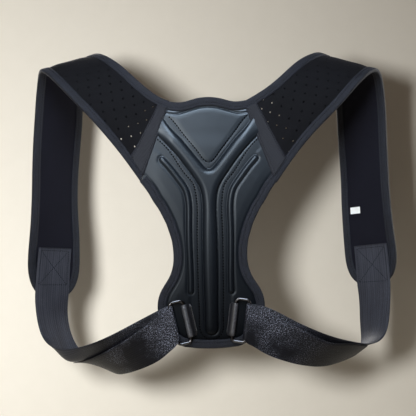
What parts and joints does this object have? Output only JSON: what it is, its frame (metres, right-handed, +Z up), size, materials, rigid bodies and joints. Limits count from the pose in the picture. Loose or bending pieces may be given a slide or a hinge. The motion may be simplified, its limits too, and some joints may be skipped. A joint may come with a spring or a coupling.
{
  "type": "back brace",
  "caption": "Back brace with a moulded Y-ridge back panel, padded straps over the shoulders, and elastic webbing under the arms run through metal rings.",
  "frame": {"origin": "on the lining's flat face against the wearer's back, on the spine line, at the panel's mid height", "axes": "+Z up the spine, +X towards the wearer's right, +Y from the outer face into the wearer's back"},
  "size_m": [0.4956, 0.1219, 0.4302],
  "materials": {
    "binding_tape": "matte woven",
    "panel_skin": "satin moulded grain",
    "foam_core": "matte",
    "support_plastic": "matte",
    "panel_lining_cloth": "matte knit",
    "keeper_tape": "ribbed satin",
    "pad_cloth": "perforated matte",
    "strap_lining_cloth": "smooth matte",
    "joining_grosgrain": "ribbed satin",
    "thread": "satin",
    "ring_metal": "polished dark nickel",
    "hook_fastener": "matte",
    "label_cloth": "satin",
    "elastic_webbing": "coarse woven"
  },
  "bodies": {
    "panel": {"panel_shell": "panel_skin", "panel_foam": "foam_core", "y_support_plate": "support_plastic", "panel_lining": "panel_lining_cloth", "neck_binding": "binding_tape", "left_side_binding": "binding_tape", "right_side_binding": "binding_tape", "hem_binding": "binding_tape", "left_ring_keeper": "keeper_tape", "right_ring_keeper": "keeper_tape"},
    "left_loop": {"left_shoulder_pad": "pad_cloth", "left_pad_lining": "strap_lining_cloth", "left_strap_binding": "binding_tape", "left_joining_tape": "joining_grosgrain", "left_webbing": "elastic_webbing", "left_box_stitch": "thread", "left_tail_root": "elastic_webbing"},
    "left_ring": {"left_adjuster_ring": "ring_metal", "left_webbing_fold": "elastic_webbing"},
    "left_tail": {"left_webbing_tail": "elastic_webbing"},
    "left_hook_tab": {"left_tail_tab": "elastic_webbing", "left_hook_patch": "hook_fastener"},
    "right_loop": {"right_shoulder_pad": "pad_cloth", "right_pad_lining": "strap_lining_cloth", "right_strap_binding": "binding_tape", "right_joining_tape": "joining_grosgrain", "right_webbing": "elastic_webbing", "right_box_stitch": "thread", "right_tail_root": "elastic_webbing", "right_care_label": "label_cloth"},
    "right_ring": {"right_adjuster_ring": "ring_metal", "right_webbing_fold": "elastic_webbing"},
    "right_tail": {"right_webbing_tail": "elastic_webbing"},
    "right_hook_tab": {"right_tail_tab": "elastic_webbing", "right_hook_patch": "hook_fastener"}
  },
  "joints": [
    {"name": "left_loop_swing", "type": "hinge", "parent": "panel", "child": "left_loop", "pos_m": [-0.076, -0.0077, -0.011], "axis": [0.031, -0.0333, -0.999], "range_deg": [-25, 45], "stiffness_Nm_per_rad": 0.5},
    {"name": "left_ring_swivel", "type": "hinge", "parent": "panel", "child": "left_ring", "pos_m": [-0.0317, -0.011, -0.1265], "axis": [-0.2079, 0, 0.9781], "range_deg": [0, 25], "stiffness_Nm_per_rad": 0.05},
    {"name": "left_tail_creep", "type": "hinge", "parent": "left_loop", "child": "left_tail", "pos_m": [-0.1028, 0.0798, -0.0986], "axis": [0.5253, 0.5854, -0.6175], "range_deg": [-3, 3], "stiffness_Nm_per_rad": 0.5},
    {"name": "left_hook_peel", "type": "hinge", "parent": "left_tail", "child": "left_hook_tab", "pos_m": [-0.14413, 0.02944, -0.18803], "axis": [-0.6478, -0.5727, 0.5023], "range_deg": [0, 60], "stiffness_Nm_per_rad": 0.05},
    {"name": "right_loop_swing", "type": "hinge", "parent": "panel", "child": "right_loop", "pos_m": [0.0765, -0.00785, -0.011], "axis": [0.0194, 0.0345, 0.9992], "range_deg": [-25, 45], "stiffness_Nm_per_rad": 0.5},
    {"name": "right_ring_swivel", "type": "hinge", "parent": "panel", "child": "right_ring", "pos_m": [0.0289, -0.011, -0.1255], "axis": [-0.1305, 0, -0.9914], "range_deg": [0, 25], "stiffness_Nm_per_rad": 0.05},
    {"name": "right_tail_creep", "type": "hinge", "parent": "right_loop", "child": "right_tail", "pos_m": [0.1107, 0.0787, -0.1226], "axis": [0.6167, -0.3193, 0.7195], "range_deg": [-3, 3], "stiffness_Nm_per_rad": 0.5},
    {"name": "right_hook_peel", "type": "hinge", "parent": "right_tail", "child": "right_hook_tab", "pos_m": [0.1494, 0.00526, -0.17572], "axis": [-0.5938, 0.4393, -0.6741], "range_deg": [0, 60], "stiffness_Nm_per_rad": 0.05}
  ]
}
